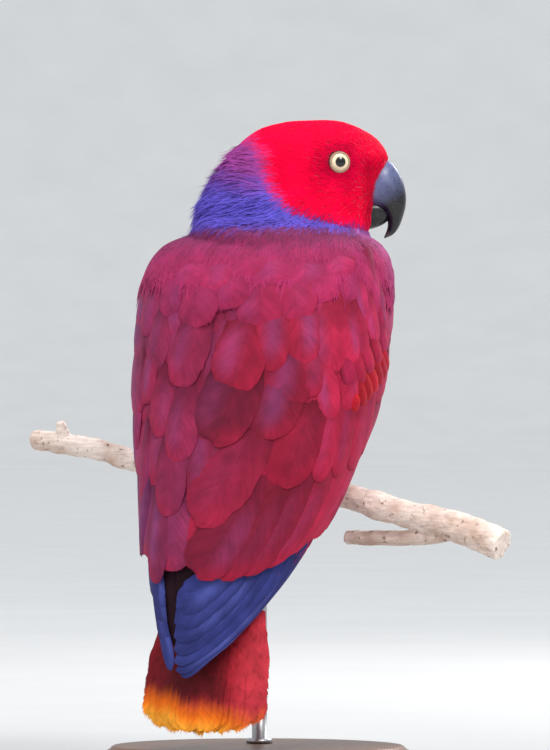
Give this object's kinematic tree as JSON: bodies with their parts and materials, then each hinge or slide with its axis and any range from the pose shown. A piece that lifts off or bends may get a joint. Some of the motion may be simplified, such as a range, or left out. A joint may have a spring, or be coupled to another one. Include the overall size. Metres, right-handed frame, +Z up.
{
  "type": "eclectus parrot model",
  "caption": "Life-size still model of a female eclectus parrot with folded wings, perched on a cut length of branch over a display stand.",
  "frame": {"origin": "centre of the flat underside of the stand's base, on the floor", "axes": "+Z up; the bird's body faces -Y and its right side is towards -X; its head is turned 60 degrees to its right"},
  "size_m": [0.2912, 0.164, 0.3449],
  "materials": {
    "crimson_feather": "matte feathers",
    "maroon_feather": "matte feathers",
    "violet_feather": "matte feathers",
    "tail_feather": "matte feathers, orange towards the tips",
    "black_horn": "glossy horn",
    "grey_skin": "scaly skin",
    "pale_iris": "wet gloss",
    "pale_bark": "bark, matte",
    "stand_steel": "satin",
    "stand_wood": "satin varnish"
  },
  "bodies": {
    "root": {"head": "crimson_feather", "neck": "violet_feather", "torso": "violet_feather", "tail": "tail_feather", "wing_right": "maroon_feather", "wing_left": "maroon_feather", "bill_upper": "black_horn", "bill_lower": "black_horn", "eye_right": "pale_iris", "eye_left": "pale_iris", "leg_right": "violet_feather", "leg_left": "violet_feather", "foot_right": "grey_skin", "foot_left": "grey_skin", "perch": "pale_bark", "stand_base": "stand_wood", "stand_rod": "stand_steel", "claw_right_1": "black_horn", "claw_right_2": "black_horn", "claw_right_3": "black_horn", "claw_right_4": "black_horn", "claw_left_1": "black_horn", "claw_left_2": "black_horn", "claw_left_3": "black_horn", "claw_left_4": "black_horn"}
  },
  "joints": []
}
